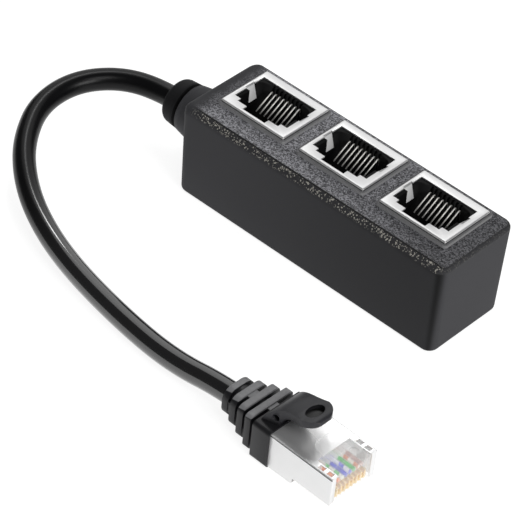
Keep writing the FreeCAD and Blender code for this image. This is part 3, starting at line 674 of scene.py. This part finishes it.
class SplitterHousing(bpy.types.PropertyGroup):
    """Colours and grain of the housing"""
    side_colour: bpy.props.FloatVectorProperty(
        name="Side colour", description="Colour of the smooth sides", size=3, subtype="COLOR",
        default=(0.042, 0.042, 0.0455), min=0.0, max=1.0)
    top_colour: bpy.props.FloatVectorProperty(
        name="Top colour", description="Mean colour of the spark-textured top", size=3, subtype="COLOR",
        default=(0.19, 0.19, 0.203), min=0.0, max=1.0)
    plinth_colour: bpy.props.FloatVectorProperty(
        name="Plinth colour", description="Colour of the sides of the plinths round the sockets", size=3,
        subtype="COLOR", default=(0.34, 0.34, 0.345), min=0.0, max=1.0)
    # Painted glints: the bright flecks round the top's edge are painted highlights
    glint_colour: bpy.props.FloatVectorProperty(
        name="Glint colour", description="Colour of the bright flecks round the top's edge", size=3,
        subtype="COLOR", default=(0.5, 0.48, 0.43), min=0.0, max=1.0)
    ledge_colour: bpy.props.FloatVectorProperty(
        name="Ledge colour", description="Colour of the plinths' flat tops", size=3, subtype="COLOR",
        default=(0.16, 0.16, 0.165), min=0.0, max=1.0)
    grain_size: bpy.props.FloatProperty(
        name="Grain size", description="Size of one grain of the spark texture", default=0.22 * MM,
        min=0.05 * MM, max=2 * MM, precision=5, unit="LENGTH")


class SplitterSockets(bpy.types.PropertyGroup):
    """Colours of the sockets, and the sizes of their contact wires and spring tabs"""
    sheet_colour: bpy.props.FloatVectorProperty(
        name="Sheet colour", description="Colour of the socket shields", size=3, subtype="COLOR",
        default=(0.72, 0.72, 0.72), min=0.0, max=1.0)
    # Painted light: the spring tabs paler than the plating
    lit_spring_colour: bpy.props.FloatVectorProperty(
        name="Spring colour", description="Colour of the shields' spring tabs", size=3, subtype="COLOR",
        default=(0.96, 0.96, 0.96), min=0.0, max=1.0)
    gap_colour: bpy.props.FloatVectorProperty(
        name="Gap colour", description="Colour of the shadow line between a shield and its plinth", size=3,
        subtype="COLOR", default=(0.02, 0.02, 0.02), min=0.0, max=1.0)
    contact_colour: bpy.props.FloatVectorProperty(
        name="Contact colour", description="Colour of the contact wires", size=3, subtype="COLOR",
        default=(0.97, 0.95, 0.9), min=0.0, max=1.0)
    wire_size: bpy.props.FloatProperty(
        name="Contact wire", description="Thickness of a contact wire", default=0.3 * MM, precision=5,
        min=0.1 * MM, max=0.6 * MM, unit="LENGTH")
    bend_radius: bpy.props.FloatProperty(
        name="Contact bend", description="Radius of the contact wire's bend", default=0.5 * MM, precision=5,
        min=0.1 * MM, max=1 * MM, unit="LENGTH")
    arm_drop: bpy.props.FloatProperty(
        name="Arm drop", description="How far the contact's arm falls from its bend to its tip",
        default=2.8 * MM, precision=5, min=1 * MM, max=8 * MM, unit="LENGTH")
    spring_reach: bpy.props.FloatProperty(
        name="Spring reach", description="How much further in the far spring tab is bent", default=0.9 * MM,
        precision=5, min=0.0, max=1 * MM, unit="LENGTH")
    spring_lift: bpy.props.FloatProperty(
        name="Spring lift", description="How much higher the far spring tab ends", default=1.0 * MM,
        precision=5, min=0.0, max=3 * MM, unit="LENGTH")


class SplitterLead(bpy.types.PropertyGroup):
    """Size and colours of the lead and its boot"""
    diameter: bpy.props.FloatProperty(
        name="Diameter", description="Outer diameter of the jacket", default=4.6 * MM, precision=5,
        min=3 * MM, max=8 * MM, unit="LENGTH")
    jacket_colour: bpy.props.FloatVectorProperty(
        name="Jacket colour", description="Colour of the jacket", size=3, subtype="COLOR",
        default=(0.003, 0.003, 0.0035), min=0.0, max=1.0)
    boot_colour: bpy.props.FloatVectorProperty(
        name="Boot colour", description="Colour of the boot", size=3, subtype="COLOR",
        default=(0.009, 0.009, 0.0105), min=0.0, max=1.0)
    # Painted light on the crowns of the boot's ribs
    crown_light_colour: bpy.props.FloatVectorProperty(
        name="Crown colour", description="Colour of the rubbed crowns of the boot's ribs", size=3,
        subtype="COLOR", default=(0.2, 0.2, 0.206), min=0.0, max=1.0)


class SplitterPlug(bpy.types.PropertyGroup):
    """Turn of the plug and boot, and the plug's colours"""
    plug_turn: bpy.props.FloatProperty(
        name="Plug turn", description="How far the boot and plug lie turned about Z", subtype="ANGLE",
        default=math.radians(-1.5))
    shell_colour: bpy.props.FloatVectorProperty(
        name="Shell colour", description="Colour of the plug's metal shell", size=3, subtype="COLOR",
        default=(0.92, 0.92, 0.92), min=0.0, max=1.0)
    # Painted shade along the shell's upper folds
    fold_shade_colour: bpy.props.FloatVectorProperty(
        name="Fold colour", description="Colour of the line along the shell's upper folds", size=3,
        subtype="COLOR", default=(0.06, 0.06, 0.06), min=0.0, max=1.0)
    clear_colour: bpy.props.FloatVectorProperty(
        name="Clear tint", description="Tint of the clear moulding", size=3, subtype="COLOR",
        default=(1.0, 1.0, 1.0), min=0.0, max=1.0)
    gold_colour: bpy.props.FloatVectorProperty(
        name="Blade colour", description="Colour of the plug's blades", size=3, subtype="COLOR",
        default=(0.95, 0.68, 0.25), min=0.0, max=1.0)


class SplitterStage(bpy.types.PropertyGroup):
    """Floor, light and lens"""
    floor_colour: bpy.props.FloatVectorProperty(
        name="Floor colour", description="Colour of the studio floor", size=3, subtype="COLOR",
        default=(0.35, 0.35, 0.35), min=0.0, max=1.0)
    floor_glow: bpy.props.FloatProperty(
        name="Floor glow", description="Light that comes up through the floor, as from a light table",
        default=0.88, min=0.0, max=5.0)
    world_strength: bpy.props.FloatProperty(
        name="Sky light", description="Strength of the even light from all round", default=0.1,
        min=0.0, max=5.0)
    key_power: bpy.props.FloatProperty(
        name="Key light", description="Power of the large card behind and above", default=4.1, min=0.0,
        max=100.0, unit="POWER")
    strip_power: bpy.props.FloatProperty(
        name="Strip light", description="Power of the narrow light high at the left", default=1.0, min=0.0,
        max=100.0, unit="POWER")
    overhead_power: bpy.props.FloatProperty(
        name="Overhead light", description="Power of the light that the contact wires reflect", default=1.15,
        min=0.0, max=100.0, unit="POWER")
    side_power: bpy.props.FloatProperty(
        name="Side light", description="Power of the light at the right", default=2.6, min=0.0,
        max=100.0, unit="POWER")
    focal_length: bpy.props.FloatProperty(
        name="Focal length", description="Camera lens in millimetres", default=210.0, min=20.0, max=400.0,
        unit="CAMERA")


class SPLITTER_OT_housing(bpy.types.Operator):
    """Housing with its collar and plinths"""
    bl_idname = "splitter.housing"
    bl_label = "Housing"

    def execute(self, context):
        look = context.scene.splitter_housing
        dressed("housing", "housing_overmould", moulded_black(look))
        return {"FINISHED"}


def bend_spring(piece, node, reach, lift):
    """Bends a shield's spring tab at the far end further in, so that its tip shows beside the contacts."""
    middle = middle_x(node)
    for vertex in piece.data.vertices:
        out = vertex.co.x - middle
        depth = FACE_LEVEL - vertex.co.z
        if TAB_OUT[0] < out < TAB_OUT[1] and TAB_DEPTH[0] < depth < TAB_DEPTH[1]:
            vertex.co.x -= reach
            vertex.co.z += lift
    piece.data.update()


class SPLITTER_OT_sockets(bpy.types.Operator):
    """Socket shields and the black mouldings inside them"""
    bl_idname = "splitter.sockets"
    bl_label = "Sockets"

    def execute(self, context):
        look = context.scene.splitter_sockets
        sheet = plated_sheet(look)
        black = black_insert()
        for number in SOCKETS:
            node = "socket_shield_%d" % number
            shield = dressed("shield_%d" % number, node, sheet, edge=SHIELD_EDGE)
            bend_spring(shield, node, look.spring_reach, look.spring_lift)
            dressed("insert_%d" % number, "socket_insert_%d" % number, black)
        return {"FINISHED"}


def contact_rule():
    """A tree that sweeps a round wire along the base line and repeats it at an even pitch."""
    rule = FieldTree("contact_row")
    count = rule.size("Count", "NodeSocketInt")
    pitch = rule.size("Pitch", "NodeSocketVector")
    bend = rule.size("Bend radius")
    thickness = rule.size("Thickness")
    line = rule.add("GeometryNodeMeshToCurve", "Curve", Mesh=rule.geometry())
    bent = rule.add("GeometryNodeFilletCurve", "Curve", {"mode": "POLY"},
                    Curve=line, Radius=bend, Count=BEND_STEPS)
    profile = rule.add("GeometryNodeCurvePrimitiveCircle", "Curve",
                       Resolution=WIRE_SIDES, Radius=thickness / 2)
    wire = rule.add("GeometryNodeCurveToMesh", "Mesh", Curve=bent, Profile_Curve=profile, Fill_Caps=True)
    points = rule.add("GeometryNodeMeshLine", "Mesh", Count=count, Offset=pitch)
    rule.finish(rule.add("GeometryNodeInstanceOnPoints", "Instances", Points=points, Instance=wire))
    return rule


def contact_line(first, arm_drop):
    """The middle line of a socket's first contact wire: up its pin to the bend, then down its arm."""
    low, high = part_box(first)
    half = (high.x - low.x) / 2
    x = low.x + half
    pin_y = high.y - half
    bend_z = high.z - half
    line = bpy.data.meshes.new("contact_line")
    line.from_pydata([(x, pin_y, low.z), (x, pin_y, bend_z), (x, low.y + half, bend_z - arm_drop)],
                     [(0, 1), (1, 2)], [])
    return line


class SPLITTER_OT_contacts(bpy.types.Operator):
    """The sprung contact wires of the three sockets"""
    bl_idname = "splitter.contacts"
    bl_label = "Contact wires"

    def execute(self, context):
        look = context.scene.splitter_sockets
        # Below this level the wires get painted shade
        tip_level = highest("contact_1_1").z - look.arm_drop
        metal = contact_metal("contact_wire", look.contact_colour, roughness=0.23, metallic=0.55,
                              tip_level=tip_level)
        rule = contact_rule()
        for number in SOCKETS:
            nodes = ["contact_%d_%d" % (number, lane) for lane in LANES]
            pitch = (lowest(nodes[-1]).x - lowest(nodes[0]).x) / (len(LANES) - 1)
            piece = linked("contacts_%d" % number, contact_line(nodes[0], look.arm_drop))
            rule.apply(piece, Count=len(LANES), Pitch=(pitch, 0.0, 0.0), Bend_radius=look.bend_radius,
                       Thickness=look.wire_size, Material=metal)
            smooth(piece.data, WIRE_SHARP_ANGLE)
            finish_piece(piece, metal, nodes)
        return {"FINISHED"}


class SPLITTER_OT_board(bpy.types.Operator):
    """Circuit board and the thin leads that reach it"""
    bl_idname = "splitter.board"
    bl_label = "Board and leads"

    def execute(self, context):
        dressed("board", "circuit_board", board_mask())
        dressed("leads", "inner_leads", insulation("lead_skin", *INNER_LEAD_COLOURS))
        return {"FINISHED"}


class SPLITTER_OT_lead(bpy.types.Operator):
    """The round lead, one smooth curve from the collar to the plug"""
    bl_idname = "splitter.lead"
    bl_label = "Lead"

    def execute(self, context):
        look = context.scene.splitter_lead
        curve = bpy.data.curves.new("lead_line", "CURVE")
        curve.dimensions = "3D"
        spline = curve.splines.new("NURBS")
        spline.points.add(len(CABLE_ROUTE) - 1)
        for point, place in zip(spline.points, CABLE_ROUTE):
            point.co = (*(Vector(place) * MM), 1.0)
        spline.order_u = 3
        spline.use_endpoint_u = True
        spline.use_smooth = True
        spline.resolution_u = LEAD_STEPS
        curve.bevel_depth = look.diameter / 2
        curve.bevel_resolution = LEAD_ROUNDNESS
        curve.use_fill_caps = True
        piece = linked("lead", curve)
        finish_piece(piece, glossy_jacket(look), ["cable_jacket"])
        riders = ["plug_boot_soft", "plug_moulding", "plug_shell", "plug_guide", "plug_blades"]
        riders += ["plug_wire_%d" % lane for lane in LANES]
        return {"FINISHED"}


class SPLITTER_OT_boot(bpy.types.Operator):
    """The soft boot with its ribs and hood"""
    bl_idname = "splitter.boot"
    bl_label = "Boot"

    def execute(self, context):
        skin = soft_boot(context.scene.splitter_lead, context.scene.splitter_plug.plug_turn)
        dressed("plug_boot_soft", "plug_boot", skin, edge=BOOT_EDGE)
        return {"FINISHED"}


class SPLITTER_OT_plug(bpy.types.Operator):
    """The plug's clear moulding, metal shell, wire guide and blades"""
    bl_idname = "splitter.plug"
    bl_label = "Plug"

    def execute(self, context):
        look = context.scene.splitter_plug
        clear = clear_moulding("plug_clear", look.clear_colour, alpha=0.15, glow=0.22)
        dressed("plug_moulding", "plug_body", clear, edge=MOULDING_EDGE)
        dressed("plug_shell", "plug_shield", bright_shell(look), edge=SHELL_EDGE)
        milky = clear_moulding("guide_clear", look.clear_colour, alpha=0.4, glow=0.12)
        dressed("plug_guide", "wire_guide", milky, edge=GUIDE_EDGE)
        gold = contact_metal("blade_gold", look.gold_colour, roughness=0.2)
        nodes = ["plug_blade_%d" % lane for lane in LANES]
        blades = linked("plug_blades", joined_copy("blades", nodes))
        bevelled(blades, BLADE_EDGE)
        smooth(blades.data)
        finish_piece(blades, gold, nodes)
        return {"FINISHED"}


class SPLITTER_OT_wires(bpy.types.Operator):
    """The eight coloured wires inside the plug"""
    bl_idname = "splitter.wires"
    bl_label = "Plug wires"

    def execute(self, context):
        turn = context.scene.splitter_plug.plug_turn
        for lane, (name, colours) in zip(LANES, WIRE_COLOURS.items()):
            slot = "wire_" + name
            dressed("plug_wire_%d" % lane, "wire_%d" % lane, insulation(slot, *colours, turn))
        return {"FINISHED"}


def add_light(name, size, power, place):
    """A rectangular lamp turned towards the object."""
    lamp = bpy.data.lights.new(name, "AREA")
    lamp.shape = "RECTANGLE"
    lamp.size, lamp.size_y = size
    lamp.energy = power
    holder = linked(name, lamp)
    holder.location = place
    holder.rotation_euler = (Vector(LAMP_AIM) - Vector(place)).to_track_quat("-Z", "Y").to_euler()


def add_floor(look):
    """A wide pale floor, just clear of the housing's bottom."""
    reach = FLOOR_REACH
    ground = bpy.data.meshes.new("floor")
    ground.from_pydata([(-reach, -reach, 0), (reach, -reach, 0), (reach, reach, 0), (-reach, reach, 0)],
                       [], [(0, 1, 2, 3)])
    ground.materials.append(floor_paint(look))
    floor = linked("floor", ground)
    floor.location.z = -FLOOR_GAP


def add_sky(look):
    """Even white light from all round."""
    world = bpy.data.worlds.new("studio")
    bpy.context.scene.world = world
    world.use_nodes = True
    sky = world.node_tree.nodes["Background"]
    sky.inputs["Color"].default_value = (*WHITE, 1.0)
    sky.inputs["Strength"].default_value = look.world_strength


def add_camera(look):
    """The camera at the photograph's angle."""
    lens = bpy.data.cameras.new("camera")
    lens.lens = look.focal_length
    lens.sensor_width = SENSOR_WIDTH
    lens.clip_start = NEAR_CLIP
    camera = linked("camera", lens)
    right = Vector(CAMERA_RIGHT)
    up = Vector(CAMERA_UP)
    back = right.cross(up).normalized()
    pose = Matrix((right, up, back)).transposed().to_4x4()
    pose.translation = Vector(CAMERA_PLACE) * MM
    camera.matrix_world = pose
    bpy.context.scene.camera = camera


class SPLITTER_OT_stage(bpy.types.Operator):
    """Floor, lights and the camera at the photograph's angle"""
    bl_idname = "splitter.stage"
    bl_label = "Stage"

    def execute(self, context):
        look = context.scene.splitter_stage
        add_floor(look)
        add_sky(look)
        for name, (size, place) in LAMPS.items():
            add_light(name, size, getattr(look, name + "_power"), place)
        add_camera(look)
        context.scene.view_settings.view_transform = "Standard"
        return {"FINISHED"}


class SPLITTER_PT_panel(bpy.types.Panel):
    """Lists the splitter's sizes, colours and pieces"""
    bl_idname = "SPLITTER_PT_panel"
    bl_label = "Network splitter"
    bl_space_type = "VIEW_3D"
    bl_region_type = "UI"
    bl_category = "Splitter"

    def draw(self, context):
        for group in SETTINGS:
            settings = getattr(context.scene, group)
            box = self.layout.box()
            box.label(text=group.replace("_", " "))
            for name in settings.__annotations__:
                box.prop(settings, name)
        for operator in OPERATORS:
            self.layout.operator(operator.bl_idname)


SETTINGS = {
    "splitter_housing": SplitterHousing,
    "splitter_sockets": SplitterSockets,
    "splitter_lead": SplitterLead,
    "splitter_plug": SplitterPlug,
    "splitter_stage": SplitterStage,
}
OPERATORS = (
    SPLITTER_OT_housing,
    SPLITTER_OT_sockets,
    SPLITTER_OT_contacts,
    SPLITTER_OT_board,
    SPLITTER_OT_boot,
    SPLITTER_OT_plug,
    SPLITTER_OT_wires,
    SPLITTER_OT_lead,
    SPLITTER_OT_stage,
)


def register():
    """Registers the settings, operators and panel."""
    for name, group in SETTINGS.items():
        bpy.utils.register_class(group)
        setattr(bpy.types.Scene, name, bpy.props.PointerProperty(type=group))
    for operator in OPERATORS:
        bpy.utils.register_class(operator)
    bpy.utils.register_class(SPLITTER_PT_panel)


def unregister():
    """Takes them out again."""
    bpy.utils.unregister_class(SPLITTER_PT_panel)
    for operator in reversed(OPERATORS):
        bpy.utils.unregister_class(operator)
    for name, group in reversed(SETTINGS.items()):
        delattr(bpy.types.Scene, name)
        bpy.utils.unregister_class(group)


def main():
    """Builds every piece and the stage."""
    register()
    for operator in OPERATORS:
        family, action = operator.bl_idname.split(".")
        getattr(getattr(bpy.ops, family), action)()


if __name__ == "__main__":
    main()
